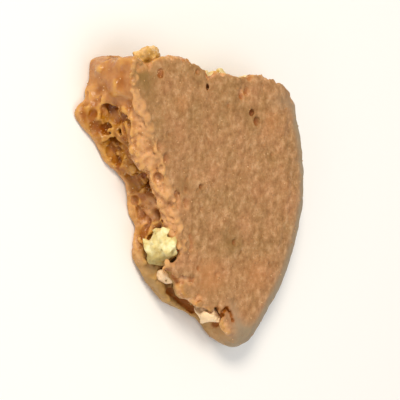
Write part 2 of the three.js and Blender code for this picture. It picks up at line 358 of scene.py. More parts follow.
# Over these depths under the skin, and heights over the tray, the surface turns to bare sugar and
# the cells begin
BARE_UNDER_SKIN, BARE_OVER_TRAY = (0.15, 0.7), (0.05, 0.4)
CELLS_UNDER_SKIN, CELLS_OVER_TRAY = (1.8, 3.0), (1.0, 1.8)
FRONT_CRUST, BAND_CRUST = 1.2, 2.4  # deeper under the long front edge, and higher over the band
PLAIN_CRUST = (-1.4, 0.4, 5.0, 6.5)  # along X, where the break has a bulge and few cells
# Relief of the skin: height in millimetres, spacing in cubes, and seed
SKIN_RELIEF = [(0.06, 24, 3), (0.05, 7, 4), (0.035, 3.2, 5)]
SLAB_SEED, NUT_SEED = 7, 40

# How many places are tried for each of these
BEADS, NICKS, PINHOLES, TRAY_BUBBLES = 600, 6000, 120, 220
# Cells of the honeycomb, from the largest: least and most radius, how many places are tried, how
# far apart the cells stay, as a share of their radii, and how soft their edges are
CELLS = [
    (0.9, 1.6, 2500, 1.25, 0.3),
    (0.5, 0.9, 6000, 1.0, 0.16),
    (0.28, 0.5, 12000, 1.0, 0.1),
]

# From here on, places are at X and across the view in the slab's drawing. Cells of the long broken
# side that are plain to see: sizes along, in and up, and the turn seen from above
OPEN_CELLS = [
    {"at": (-17.8, -23.4), "sizes": (0.7, 1.1, 0.8), "turn": 0.3},
    {"at": (-14.1, -22.8), "sizes": (0.55, 0.8, 0.6), "turn": 0.2},
    {"at": (-8.9, -22.6), "sizes": (1.2, 1.5, 0.9), "turn": -0.5},
    {"at": (-6.8, -21.2), "sizes": (1.2, 1.5, 0.9), "turn": -0.5},
    {"at": (-8.1, -19.2), "sizes": (1.0, 0.9, 0.6), "turn": -0.4},
    {"at": (-2.3, -16.8), "sizes": (1.1, 0.9, 0.5), "turn": -0.4},
    {"at": (9.2, -9.7), "sizes": (0.8, 0.9, 1.0), "turn": 0.0},
    {"at": (6.7, -12.6), "sizes": (1.2, 0.8, 0.6), "turn": 0.5},
]
# Cracks by the tip and the sliver: depth, where it isn't in keeping with the width
CRACKS = [
    {"half_width": 0.36, "points": [(23.6, -3.8), (23.5, -2.8), (22.7, -1.5)]},
    {"half_width": 0.36, "points": [(22.7, 0.7), (23.4, -0.1), (25.7, -1.3), (26.6, -1.9)]},
    {"half_width": 0.24, "points": [(22.7, 0.3), (24.0, 1.6), (25.4, 2.0)]},
    {"half_width": 0.34, "points": [(14.6, -11.3), (16.1, -10.3), (17.2, -9.2)]},
    {
        "half_width": 0.7,
        "depth": 0.8,
        "points": [(18.8, -11.0), (20.9, -8.7), (22.2, -7.2), (23.4, -6.2)],
    },
]
# Rises and dents of the solid lobe, of the lip's edge and of the band by the sliver: height, and
# half widths along and across
FOLDS = [
    (-25.0, -24.6, 1.1, 1.2, 1.0),
    (-21.2, -21.5, 0.8, 1.9, 0.85),
    (-21.0, -24.0, -0.8, 1.2, 1.1),
    (-22.6, -19.4, -0.4, 2.2, 0.7),
    (-23.5, -28.6, -1.3, 3.0, 1.6),
    (-19.4, -29.8, -2.1, 1.1, 2.2),
    (-15.9, -29.4, 0.3, 1.3, 1.0),
    (-29.2, -23.5, -1.7, 1.5, 4.0),
    (-17.0, -19.6, 0.5, 1.2, 0.9),
    (14.2, -14.4, 0.7, 1.1, 0.9),
]
# Rounded crust that fills the break under the skin, and the gap below the front nut: sizes
BULGES = [
    ((-8.0, -17.0), (3.0, 1.3, 1.6)),
    ((-4.6, -16.0), (2.4, 1.2, 1.5)),
    ((-2.0, -16.2), (2.0, 1.0, 1.2)),
    ((-5.4, -17.9), (1.8, 1.0, 1.3)),
    ((14.4, -13.3), (1.0, 0.9, 0.9)),
    ((2.4, -14.4), (2.4, 1.2, 1.4)),
]
# Faces without cells, inside the lip, on those bulges and on the crust beside them: radius
PLAIN_FACES = [
    (-15.2, -26.2, 3.0), (-8.2, -17.6, 1.5), (-5.6, -16.0, 1.8), (-2.0, -16.2, 1.5),
    (2.4, -14.4, 2.0), (-5.4, -17.9, 1.3), (-16.3, -17.9, 1.6), (-20.4, -23.4, 1.2),
]
# Pits of the skin: sizes, and height of the rim
SKIN_PITS = [
    {"at": (-16.9, 5.7), "sizes": (0.9, 0.9, 0.8), "rim": 0.2},
    {"at": (-15.2, 6.8), "sizes": (1.0, 0.9, 0.8), "rim": 0.2},
    {"at": (-1.9, -4.6), "sizes": (0.5, 0.6, 0.5), "rim": 0.1},
    {"at": (9.4, 2.2), "sizes": (0.7, 0.6, 0.5), "rim": 0.1},
    {"at": (-24.6, -5.2), "sizes": (0.6, 0.6, 0.5), "rim": 0.15},
]
# Patches of the skin, in the frame's X and Y: middle, radius and how olive, or below 0 how orange.
# The olive ones are painted shade where the skin dips, over its own uneven tone, and the orange ones
# are painted highlight where it swells
TONE_SHADE_AND_HIGHLIGHT_PATCHES = [
    (-24.4, -21.5, 3.2, 2.1),
    (-20.6, -19.6, 2.4, 0.8),
    (-15.8, -17.0, 2.6, 0.5),
    (-9.8, -12.9, 2.6, 0.5),
    (-3.0, -9.4, 2.4, 1.0),
    (-25.0, -4.5, 3.0, 0.7),
    (-17.0, 8.3, 2.4, 1.2),
    (8.5, 5.0, 2.6, 1.3),
    (2.0, 12.0, 4.0, 0.4),
    (16.4, -7.8, 1.6, 0.6),
    (22.8, 2.4, 1.6, 0.6),
    (-19.5, -7.0, 9.5, 0.42),
    (-18.8, -11.2, 2.5, -0.9),
    (-16.6, 14.2, 3.0, -0.6),
    (15.3, 11.6, 3.5, -0.6),
    (15.3, -1.0, 3.5, -0.9),
    (25.4, 7.7, 3.0, -0.4),
]


def slab_masks(field):
    """Shares, from 0 to 1, of each kind of surface over the grid. 0 * z spreads one upwards"""
    x, y, z = field.places()
    direction = np.mod(np.arctan2(y - HEART[1], x - HEART[0]), 2 * math.pi)
    below = skin_height(x, y) - z
    middle = np.argmin(np.abs(z - 4.5))
    footprint = (field.values[:, :, middle : middle + 1] < 0).astype(np.float32)

    # The broken sides, near the outline alone, and what of them is neither skin nor foot
    sector = 1 - smoothstep(direction, *RIM_FROM) + smoothstep(direction, *BREAK_FROM)
    sector = sector * (1 - smoothstep(blur(footprint, 12), 0.9, 0.99))
    broken = sector * smoothstep(below, *BARE_UNDER_SKIN) * smoothstep(z, *BARE_OVER_TRAY)

    # Cells, between a crust under the skin and one over the tray
    band = np.where(direction < BREAK_FROM[0], 1, smoothstep(direction, *BAND_FROM))
    front = smoothstep(direction, *FRONT_FROM) * (1 - band)
    foam = sector * smoothstep(below - FRONT_CRUST * front, *CELLS_UNDER_SKIN)
    foam = foam * smoothstep(z - BAND_CRUST * band, *CELLS_OVER_TRAY)
    foam *= 1 - 0.85 * smoothstep(x, *PLAIN_CRUST[:2]) * (1 - smoothstep(x, *PLAIN_CRUST[2:]))
    lobe = broken * (1 - smoothstep(np.abs(direction - LOBE_DIRECTION), *LOBE_HALF_WIDTH))

    # The skin's long broken edge, found 0.6 mm under the skin, and the poured rim
    edge = sector * front * (1 - lobe)
    level = np.argmin(np.abs(below + 0 * z - 0.6), axis=2)[:, :, None]
    skin_area = (np.take_along_axis(field.values, level, axis=2) < 0).astype(np.float32)
    edge = edge * (1 - smoothstep(blur(skin_area, 6), 0.78, 0.9))
    edge = edge * smoothstep(below, -0.4, -0.2) * (1 - smoothstep(below, 2.0, 3.2))
    # The poured rim's share, which the material greys with painted shade
    rim = smoothstep(direction, *RIM_FROM) * (1 - smoothstep(direction, *BREAK_FROM))
    rim = rim * (1 - smoothstep(blur(footprint, 14), 0.8, 1.0)) + 0 * z
    return sector + 0 * z, broken, foam * (1 - lobe), lobe, band + 0 * z, edge, rim, front + 0 * z


def surface_cubes(field, mask, random, count):
    """Places on the surface, drawn where the mask allows it"""
    near = np.abs(field.values) < 0.6 * field.cube
    found = np.argwhere(near & (mask > random.random(mask.shape, np.float32)))
    chosen = found[random.permutation(len(found))[:count]]
    return (chosen + field.first) * field.cube


def open_honeycomb(field, foam, random):
    """Bubbles that the break has torn open, each left as a cup, from the largest to the finest"""
    whole = field.values.copy()
    x, across = field.sight()
    for face_x, face_across, radius in PLAIN_FACES:
        away = np.hypot(x - face_x, across - face_across)
        foam = foam * smoothstep(away, 0.7 * radius, 1.3 * radius)
    gather = smoothstep(lumps(field.values.shape, 12, 6), -0.5, 0.7)
    field.unevenness = 0.22 * lumps(field.values.shape, 4.5, 9)
    allowed = foam
    for low, high, count, spacing, softness in CELLS:
        points = surface_cubes(field, allowed, random, count)
        radii = low + (high - low) * random.random(len(points)) ** 2
        points = points + field.outward(points) * (0.5 * radii)[:, None]
        for index in spread_out(points, radii, spacing):
            radius = radii[index]
            sizes = radius * np.array((1 + 0.6 * random.random(), 1, 0.7 + 0.25 * random.random()))
            field.cut(points[index], sizes, softness, turn=random.random() * math.pi)
        allowed = foam * gather  # the finer cells lie in clusters
    # No cell goes deeper than about a millimetre, but for those that are plain to see
    floor = whole + 0.95 + 0.35 * lumps(field.values.shape, 8, 14)
    field.values = np.minimum(field.values, floor)
    for cell in OPEN_CELLS:
        point = field.seen(*cell["at"])
        point = point + field.outward(point[None])[0] * 0.3 * min(cell["sizes"])
        field.cut(point, cell["sizes"], 0.3, cell["turn"])
    field.unevenness = None


def nick_edge(field, sector, random):
    """Bites out of the skin's broken edge, so that it doesn't run as one clean line"""
    x, y, z = field.places()
    below = skin_height(x, y) - z
    # At the skin's height, and where little sugar is around
    edge = sector * (np.abs(below - 0.2) < 0.4) * (blur(np.clip(-field.values, 0, 1), 8) < 0.36)
    points = surface_cubes(field, edge, random, NICKS)
    outward = field.outward(points)
    level = np.linalg.norm(outward[:, :2], axis=1)
    points, outward = points[level > 0.5], outward[level > 0.5]
    radii = 0.4 + 0.9 * random.random(len(points)) ** 2
    points = points + outward * (0.62 * radii)[:, None]
    for index in spread_out(points, radii, 1.0):
        radius = radii[index]
        field.cut(points[index], (1.3 * radius, radius, 1.1 * radius), 0.25)


def fold_sugar(field):
    """Low rises and dents where the solid sugar folded over while it set"""
    x, across = field.sight()
    for fold_x, fold_across, height, along, wide in FOLDS:
        near = np.exp(-(((x - fold_x) / along) ** 2) - ((across - fold_across) / wide) ** 2)
        field.values -= height * near


def bead_crust(field, edge, random):
    """Beads of sugar along the skin's broken edge and just under it. Gives where they stand out"""
    before = field.values.copy()
    points = surface_cubes(field, edge, random, BEADS)
    radii = 0.4 + 0.6 * random.random(len(points)) ** 2
    for index in spread_out(points, radii, 0.6):
        radius = radii[index]
        sizes = (1.3 * radius, radius, 0.8 * radius)
        point = points[index] - (0, 0, 0.2 * radius)
        field.add(point, sizes, 0.3, random.random() * math.pi)
    return np.clip((before - field.values) / 0.35, 0, 1)


def split_skin(field):
    """Cracks, each as a chain of small cuts along its line, whose width wavers. Gives where they
    lie"""
    before = field.values.copy()
    for crack in CRACKS:
        ends = np.array([field.seen(*point) for point in crack["points"]])
        for start, end in zip(ends[:-1], ends[1:]):
            steps = math.ceil(np.linalg.norm(end - start) / (0.5 * crack["half_width"]))
            for k in range(steps + 1):
                point = start + (end - start) * k / steps
                wide = crack["half_width"] * (0.8 + 0.3 * math.sin(5.0 * point[0] + 3.0 * point[1]))
                field.cut(point, (wide, 1.6 * wide, crack.get("depth", 2.2 * wide)), 0.1)
    return np.clip(blur(np.clip((field.values - before) / 0.4, 0, 1), 1.2) * 1.6, 0, 1)


def prick_skin(field, broken, random):
    """Pinholes of the skin, and the flat bubbles that the tray has left below"""
    x, y, z = field.places()
    plain = (1 - broken) * (skin_height(x, y) - z < 0.5)
    for point in surface_cubes(field, plain, random, PINHOLES):
        radius = 0.2 + 0.35 * random.random() ** 3
        field.cut(point + (0, 0, 0.45 * radius), (1.3 * radius, radius, radius), 0.2)
    foot = (np.abs(z) < field.cube) * (1 - broken) + 0 * x + 0 * y
    for point in surface_cubes(field, foot, random, TRAY_BUBBLES):
        radius = 0.4 + 1.3 * random.random() ** 3
        field.cut(point * (1, 1, 0), (radius, 0.8 * radius, 0.35), 0.15, random.random() * math.pi)


def carve_slab(field, random):
    """Opens the break and roughens the skin. Gives the share, from 0 to 1, of each finish"""
    shape = field.values.shape
    x, y, z = field.places()
    below = skin_height(x, y) - z
    sector, broken, foam, lobe, band, edge, rim, front = slab_masks(field)

    # The break is craggy, but less so near the tray, and the skin has low waves and wrinkles
    crag = 0.3 * lumps(shape, 12, 1) + 0.22 * np.abs(lumps(shape, 7, 12))
    crag = crag + 0.14 * lumps(shape, 4, 2)
    crag *= 0.35 + 0.65 * smoothstep(z, 1.2, 3.2)
    skin = sum(height * lumps(shape, spacing, seed) for height, spacing, seed in SKIN_RELIEF)
    field.values += broken * (1 - 0.4 * lobe) * crag + (1 - broken) * skin

    # Crust swells out under the skin's long edge, most where the break is hollow
    recess = smoothstep(below, 0.9, 1.9) * (1 - smoothstep(below, 3.8, 5.6))
    swollen = 1.2 + 0.7 * smoothstep(x, -11, -8) * (1 - smoothstep(x, -3, 0))
    near = 1 - smoothstep(field.values, 1.4, 2.0)
    field.values -= swollen * near * recess * broken * (1 - lobe) * front
    fold_sugar(field)
    for place, sizes in BULGES:
        field.add(field.seen(*place), sizes, 1.2, EDGE_TURN)
    bead = bead_crust(field, edge, random)

    # The cells open between uneven crusts, under the skin and over the tray, that stay whole
    beaded = field.values.copy()
    open_honeycomb(field, foam, random)
    kept = np.clip(0.25 * lumps(shape, 9, 8), -0.4, 0.5)
    over_tray = z - 1.4 - 2 * band
    under_skin = below - 2.2 - 0.9 * band - 1.0 * front
    crusts = np.minimum(over_tray, under_skin) - kept
    field.values = np.minimum(field.values, np.maximum(beaded, crusts))

    nick_edge(field, sector * (1 - band), random)
    for pit in SKIN_PITS:
        point, sizes = field.seen(*pit["at"]), np.array(pit["sizes"])
        field.add(point, (*(1.5 * sizes[:2]), pit["rim"]), 0.5)
        field.cut(point, sizes, 0.25)
    crack = split_skin(field)
    prick_skin(field, broken, random)
    field.values = blur(field.values, 0.55)

    # Blurring the inside tells hollows, which have more material around them, from walls and edges.
    # The materials paint shade into the hollows and highlight onto the edges
    inside = np.clip(0.5 - field.values / field.cube, 0, 1)
    band = band * broken * smoothstep(below, 1.4, 2.4)
    under = smoothstep(below, 0.7, 1.9) * front * (1 - smoothstep(x, -8, -2))
    return {
        "sugar": np.maximum(broken, 0.75 * bead),
        "sticky": broken * (1 - 0.8 * lobe) * (1 - band),
        # Share of the beads' painted highlight, less where the crust lies deeper under the skin's
        # front edge
        "bead": bead * (1 - 0.6 * under),
        "band": band,
        "crack": crack,
        "lobe": lobe,
        "foam": np.maximum(foam, 0.45 * under * broken * (1 - lobe)),
        "fine_hollow": blur(inside, 2),
        "deep_hollow": blur(inside, 6),
        "rim": rim,
    }


def make_slab():
    """The brittle itself, with its skin, rim and open break"""
    field = Field("brittle", SLAB_CUBE)
    field.values = blur(field.values, 1.5)
    finishes = carve_slab(field, np.random.default_rng(SLAB_SEED))
    piece = make_piece("brittle_slab", field, SLAB_TRIANGLES)
    corners, _ = read_mesh(piece.data)
    for name, share in finishes.items():
        write_attribute(piece, name, field.sample(share, corners))
    # Patches of painted shade and painted highlight over the skin, with some of its own uneven tone
    cloud = sum(
        dark * np.exp(-((corners[:, 0] - cx) ** 2 + (corners[:, 1] - cy) ** 2) / radius**2)
        for cx, cy, radius, dark in TONE_SHADE_AND_HIGHLIGHT_PATCHES
    )
    write_attribute(piece, "cloud", cloud)
    corners[:, 2] = np.maximum(corners[:, 2], 0)  # flat where it lay on the tray
    piece.data.vertices.foreach_set("co", (corners * MM).ravel())
    piece.data.update()
    weld(piece.data)
    return piece


# Turn of each nut's broken face, in degrees seen from above, how much paler and pinker it is, partly
# its own tone and partly painted light, and how much it is glazed with gold sugar. Chips and lumps
# have a radius, a facet the direction that it faces, and painted shade darkens its lower side, which
# turns from the lamps, from the first to the second distance along X.
NUTS = {
    "peanut_front": {
        "turn": 4,
        "chips": [
            (7.7, -14.8, 1.2), (6.2, -12.7, 1.3), (7.0, -10.3, 1.2), (11.3, -9.6, 0.9),
            (12.9, -9.8, 1.3), (13.9, -15.6, 1.4), (10.6, -16.0, 0.6),
        ],
        "lumps": [(13.5, -14.1, 1.1)],
        "facets": [((11.0, -12.8), (0.8, -0.35, 0.4)), ((8.6, -12.6), (-0.35, -0.35, 0.85))],
        "lower_shade": (0.4, 2.4),
    },
    "peanut_sliver": {"turn": 40, "pale": 0.9},
    "peanut_tip": {
        "turn": 52,
        "pale": 0.8,
        "chips": [
            (22.8, -4.8, 0.8), (22.8, -2.9, 0.9), (22.7, -1.4, 0.8), (24.0, -0.6, 0.8),
            (25.4, -0.9, 0.8),
        ],
        "facets": [((25.7, -3.2), (1.0, 0.1, 0.0))],
    },
    "peanut_corner": {"turn": -78, "gold": 0.95},
    "peanut_back": {"turn": -84, "pale": 0.1, "gold": 0.2},
    "peanut_back_small": {"turn": -92, "pale": 0.3},
}


def make_nut(name, looks, seed):
    """Half peanut, rounded where it sits in the sugar and chipped on its broken face"""
    random = np.random.default_rng(seed)
    field = Field(name, NUT_CUBE)
    shape = field.values.shape
    field.values = blur(field.values, 2)
    x, y, z = field.places()
    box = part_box(name)
    middle = np.array([(a + b) / 2 / MM for a, b in zip(*box)])
    size = max(b - a for a, b in zip(*box)) / MM / 2
    turn = math.radians(looks["turn"])
    out = np.array((math.sin(turn), -math.cos(turn), 0))
    front = (x - middle[0]) * out[0] + (y - middle[1]) * out[1] + 0 * z
    reach = front[field.values < 0].max()
    for lump_x, lump_across, radius in looks.get("lumps", ()):
        field.add(field.seen(lump_x, lump_across, middle), (radius, radius, radius), 0.5)

    # Facets where it split, the placed ones first, then chips, and scoops out of its broken face
    facets = [(field.seen(*place), np.array(tilt)) for place, tilt in looks.get("facets", ())]
    for _ in range(7):
        tilt = out + (0, 0, 0.5) + random.normal(0, 0.5, 3)
        tilt /= np.linalg.norm(tilt)
        facets.append((middle + tilt * reach * (0.9 + 0.2 * random.random()), tilt))
    for at, tilt in facets:
        tilt = tilt / np.linalg.norm(tilt)
        plane = (x - at[0]) * tilt[0] + (y - at[1]) * tilt[1] + (z - at[2]) * tilt[2]
        field.values = np.maximum(field.values, plane)
    for chip_x, chip_across, radius in looks.get("chips", ()):
        point = field.seen(chip_x, chip_across, middle)
        field.cut(point, (radius, radius, 1.4 * radius), 0.1)
    for _ in range(4):
        radius = size * (0.6 + 0.4 * random.random())
        at = middle + out * (reach + 0.86 * radius) + random.normal(0, 0.5 * size, 3)
        field.cut(at, (radius, radius, radius), 0.1)

    # The broken face, in front and on top, is lumpy, and the outside is nearly smooth
    face = smoothstep(front, reach - 3.6, reach - 1.6)
    face = np.maximum(face, smoothstep(z + 0 * front, middle[2] - 0.5, middle[2] + 0.5))
    field.values += face * (0.2 * lumps(shape, 9, seed) + 0.07 * lumps(shape, 4, seed + 1))
    field.values += (1 - face) * 0.04 * lumps(shape, 9, seed + 2)
    field.values = blur(field.values, 0.7)
    inside = np.clip(0.5 - field.values / field.cube, 0, 1)

    piece = make_piece(name + "_kernel", field, NUT_TRIANGLES)
    corners, _ = read_mesh(piece.data)
    # Painted shade over the nut's lower side, growing along +X
    lower_shade = 0.0
    if "lower_shade" in looks:
        lower_shade = 0.85 * smoothstep(corners[:, 0] - middle[0], *looks["lower_shade"])
    for key, values in (
        ("face", field.sample(face, corners)),
        ("lower_shade", lower_shade),
        ("pale", looks.get("pale", 0.0)),
        ("gold", looks.get("gold", 0.0)),
        ("fine_hollow", field.sample(blur(inside, 3), corners)),
    ):
        write_attribute(piece, key, values)
    return piece


def colour(code):
    """Linear colour from an sRGB hex value"""
    parts = [int(code[i : i + 2], 16) / 255 for i in (1, 3, 5)]
    return tuple(p / 12.92 if p <= 0.04045 else ((p + 0.055) / 1.055) ** 2.4 for p in parts) + (1,)


def add(tree, kind, inputs=None, stops=(), **settings):
    """Adds a node with its settings. An input takes a value, a hex colour, an output of another
    node, or a node, whose first output in use is then meant"""
    node = tree.nodes.new(kind)
    for key, value in settings.items():
        setattr(node, key, value)
    for key, value in (inputs or {}).items():
        named = [socket for socket in node.inputs if socket.enabled and socket.name == key]
        socket = named[0] if named else node.inputs[key]
        if isinstance(value, bpy.types.Node):
            value = next(output for output in value.outputs if output.enabled)
        if isinstance(value, bpy.types.NodeSocket):
            tree.links.new(value, socket)
        else:
            socket.default_value = colour(value) if str(value).startswith("#") else value
    for index, (at, code) in enumerate(stops):
        elements = node.color_ramp.elements
        element = elements[index] if index < len(elements) else elements.new(at)
        element.position = at
        element.color = colour(code)
    return node


def new_finish(name):
    """Empty material with the places on its piece that its patterns read"""
    material = bpy.data.materials.new(name)
    material.use_nodes = True
    tree = material.node_tree
    tree.nodes.clear()
    return material, tree, add(tree, "ShaderNodeTexCoord").outputs["Object"]


def lay_coats(tree, ground, coats):
    """Lays tints over a colour in turn. Each covers as much as its value says or, where it has
    limits, from nothing at the first of them to a share, the third, at the second"""
    for value, tint, *limits in coats:
        if limits:
            start, full, share = limits
            value = add(
                tree, "ShaderNodeMapRange",
                {"Value": value, "From Min": start, "From Max": full, "To Max": share},
            )
        ground = add(
            tree, "ShaderNodeMix", {"Factor": value, "A": ground, "B": tint}, data_type="RGBA"
        )
    return ground


def brittle_material():
    """Freeze-dried brittle, poured on a tray and broken by hand: its dried skin is dull and mottled
    like baked meringue, with patches of painted shade and highlight, and the sugar inside is glassy
    amber, pale wherever it is thin, with painted highlight on its edges and beads and painted shade
    in its hollows"""
    material, tree, where = new_finish("freeze_dried_brittle")
    carried = {
        name: add(tree, "ShaderNodeAttribute", attribute_name=name).outputs["Fac"]
        for name in (
            "sugar", "lobe", "foam", "bead", "band", "crack", "rim", "cloud", "fine_hollow",
            "deep_hollow",
        )
    }

    # Patterns: size in millimetres, detail, roughness and colours
    tints = {}
    for name, size, detail, roughness, stops in (
        # The skin clouds where the slab dried unevenly, and mottles where bubbles came up under it.
        # The real mottle goes finer than this, but wouldn't show
        ("clouds", 7, 3.0, 0.5, ((0.34, "#94733c"), (0.5, "#b0804f"), (0.66, "#c88a5c"))),
        (
            "mottle", 1.5, 4.0, 0.65,
            ((0.3, "#845426"), (0.44, "#a67648"), (0.54, "#ba895a"), (0.7, "#deae80")),
        ),
        # Crust between the skin and the cells, tan and lumpy
        ("crust", 1.6, 2.0, 0.5, ((0.36, "#a9692f"), (0.64, "#e0a872"))),
        # Sugar of the cells, from burnt orange to olive gold
        ("cells", 2.6, 3.0, 0.5, ((0.3, "#944c08"), (0.5, "#a46313"), (0.7, "#b57c1f"))),
        # Solid sugar of the lobe, which holds no bubbles and glows orange
        ("lobe", 3, 3.0, 0.5, ((0.3, "#a26128"), (0.55, "#b97c3f"), (0.75, "#d29b60"))),
    ):
        noise = add(
            tree, "ShaderNodeTexNoise",
            {"Vector": where, "Scale": 1 / (size * MM), "Detail": detail, "Roughness": roughness},
        )
        tints[name] = add(tree, "ShaderNodeValToRGB", {"Fac": noise}, stops=stops)

    # Pores of the skin, 0.9 mm apart, painted only: each has a darker middle, the painted shade of
    # its hollow
    painted_pore_shade = add(tree, "ShaderNodeTexVoronoi", {"Vector": where, "Scale": 1 / (0.9 * MM)})
    skin = lay_coats(tree, tints["clouds"], (
        (0.68, tints["mottle"]),
        # Painted shade, olive where the skin dips, and painted highlight, orange where it swells,
        # over the skin's own uneven tone
        (carried["cloud"], "#886630", 0.0, 2.0, 0.9),
        (carried["cloud"], "#cf8448", 0.0, -1.0, 0.5),
        (painted_pore_shade, "#7c5530", 0.2, 0.08, 0.5),
        # Painted shade, greyer towards the poured rim, where the skin curves away from the lamps
        (carried["rim"], "#9f8c70", 0.0, 1.0, 0.9),
    ))
    sugar = lay_coats(tree, tints["crust"], (
        (carried["foam"], tints["cells"]),
        (carried["lobe"], tints["lobe"]),
        # Thin walls and edges are paler, partly the thin sugar's own colour and partly painted
        # highlight, and the beads get a peach painted highlight
        (carried["fine_hollow"], "#dda550", 0.48, 0.34, 0.75),
        (carried["bead"], "#dea66c", 0.0, 1.6, 1.0),
    ))
    base = lay_coats(tree, skin, (
        (carried["sugar"], sugar),
        # Olive tan of the smooth band by the tip, where skin ran down over the break
        (carried["band"], "#a5844d", 0.0, 1.0, 0.75),
        # Painted shade: hollows go dark brown. Cracks are burnt orange
        (carried["fine_hollow"], "#8a5110", 0.58, 0.85, 0.6),
        (carried["deep_hollow"], "#8c4a08", 0.54, 0.74, 1.0),
        (carried["crack"], "#9c580c"),
    ))

    # The skin is dull, and glassy sugar shines in patches of about 1.2 mm
    gloss_noise = add(
        tree, "ShaderNodeTexNoise", {"Vector": where, "Scale": 1 / (1.2 * MM), "Detail": 2.0}
    )
    gloss = add(
        tree, "ShaderNodeMapRange",
        {"Value": gloss_noise, "From Min": 0.3, "From Max": 0.7, "To Min": 0.22, "To Max": 0.42},
    )
    shine = add(
        tree, "ShaderNodeMath", {0: carried["sugar"], 1: carried["band"]}, operation="SUBTRACT"
    )
    gloss = add(
        tree, "ShaderNodeMapRange", {"Value": carried["lobe"], "To Min": gloss, "To Max": 0.16}
    )
    rough = add(
        tree, "ShaderNodeMapRange", {"Value": shine, "To Min": 0.62, "To Max": gloss}
    )

    # Grain of the dried surface: 0.3 mm specks over 0.9 mm bumps
    specks = add(
        tree, "ShaderNodeTexNoise", {"Vector": where, "Scale": 1 / (0.3 * MM), "Detail": 2.0}
    )
    bumps = add(
        tree, "ShaderNodeTexNoise", {"Vector": where, "Scale": 1 / (0.9 * MM), "Detail": 2.0}
    )
    grain = add(
        tree, "ShaderNodeBump", {"Height": specks, "Strength": 0.35, "Distance": 0.2 * MM}
    )
    grain = add(
        tree, "ShaderNodeBump",
        {"Height": bumps, "Strength": 0.4, "Distance": 0.3 * MM, "Normal": grain},
    )
    # Sugar has an IOR of about 1.5, as the shader has, and lets some light in
    shader = add(
        tree, "ShaderNodeBsdfPrincipled",
        {
            "Base Color": base, "Roughness": rough, "Normal": grain, "Specular IOR Level": 0.4,
            "Subsurface Weight": 0.12, "Subsurface Radius": (1.0, 0.45, 0.2),
            "Subsurface Scale": 1.2 * MM,
        },
    )
    add(tree, "ShaderNodeOutputMaterial", {"Surface": shader})
    return material


def kernel_material():
    """Roasted peanut, broken across: dense, dry and cream, browned where the hot sugar met it"""
    material, tree, where = new_finish("roasted_peanut")
    face, lower_shade, pale, gold, hollow = (
        add(tree, "ShaderNodeAttribute", attribute_name=name).outputs["Fac"]
        for name in ("face", "lower_shade", "pale", "gold", "fine_hollow")
    )
    # Patterns: size in millimetres, detail and colours
    tints = {}
    for name, size, detail, stops in (
        # Broken kernel, with the slightly deeper patches of its oil
        ("cream", 1.4, 3.0, ((0.3, "#c9b069"), (0.48, "#e5d491"), (0.66, "#f3eab6"))),
        # Gold sugar that ran over it, whose palest patches are painted highlight
        ("glaze", 1.8, 2.0, ((0.35, "#a07024"), (0.55, "#cf9c4a"), (0.7, "#f6c888"))),
        # Outside, browned by the hot sugar
        ("brown", 1.1, 2.0, ((0.3, "#a8722f"), (0.7, "#d6a55c"))),
    ):
        noise = add(
            tree, "ShaderNodeTexNoise",
            {"Vector": where, "Scale": 1 / (size * MM), "Detail": detail},
        )
        tints[name] = add(tree, "ShaderNodeValToRGB", {"Fac": noise}, stops=stops)
    broken = lay_coats(tree, tints["cream"], (
        # Paler and pinker cream, partly the nut's own tone and partly painted light where its face
        # turns from the lamps
        (pale, "#fbd5ac"),
        (gold, tints["glaze"]),
        # Painted shade, olive tan on its lower side, which turns from the lamps
        (lower_shade, "#a8904a"),
    ))
    base = lay_coats(tree, tints["brown"], (
        (face, broken),
        # Painted shade, darker in the chips' hollows
        (hollow, "#a07f38", 0.53, 0.7, 0.85),
    ))
    # Glazed faces shine. The grain is that of the bare kernel, at 0.35 mm
    rough = add(tree, "ShaderNodeMapRange", {"Value": gold, "To Min": 0.48, "To Max": 0.22})
    specks = add(
        tree, "ShaderNodeTexNoise", {"Vector": where, "Scale": 1 / (0.35 * MM), "Detail": 2.0}
    )
    grain = add(
        tree, "ShaderNodeBump", {"Height": specks, "Strength": 0.35, "Distance": 0.2 * MM}
    )
    shader = add(
        tree, "ShaderNodeBsdfPrincipled",
        {
            "Base Color": base, "Roughness": rough, "Normal": grain, "Subsurface Weight": 0.15,
            "Subsurface Radius": (1.0, 0.7, 0.35), "Subsurface Scale": 1 * MM,
        },
    )
    add(tree, "ShaderNodeOutputMaterial", {"Surface": shader})
    return material


def crumb_material():
    """Splinters of the broken sugar: clear gold, with a slight sparkle"""
    material, tree, where = new_finish("broken_sugar_crumbs")
    # Their tints drift over 0.8 mm, so each has its own, and 0.2 mm specks make them sparkle
    tints = add(
        tree, "ShaderNodeTexNoise", {"Vector": where, "Scale": 1 / (0.8 * MM), "Detail": 2.0}
    )
    base = add(
        tree, "ShaderNodeValToRGB", {"Fac": tints},
        stops=((0.35, "#ad7840"), (0.5, "#c5925a"), (0.65, "#dcb684")),
    )
    specks = add(
        tree, "ShaderNodeTexNoise", {"Vector": where, "Scale": 1 / (0.2 * MM), "Detail": 1.0}
    )
    grain = add(
        tree, "ShaderNodeBump", {"Height": specks, "Strength": 0.2, "Distance": 0.1 * MM}
    )
    shader = add(
        tree, "ShaderNodeBsdfPrincipled", {"Base Color": base, "Roughness": 0.35, "Normal": grain}
    )
    add(tree, "ShaderNodeOutputMaterial", {"Surface": shader})
    return material


def floor_material():
    """Matte white card"""
    material, tree, _ = new_finish("matte_white_card")
    shader = add(tree, "ShaderNodeBsdfPrincipled", {"Base Color": "#fbfaf8", "Roughness": 0.9})
    add(tree, "ShaderNodeOutputMaterial", {"Surface": shader})
    return material


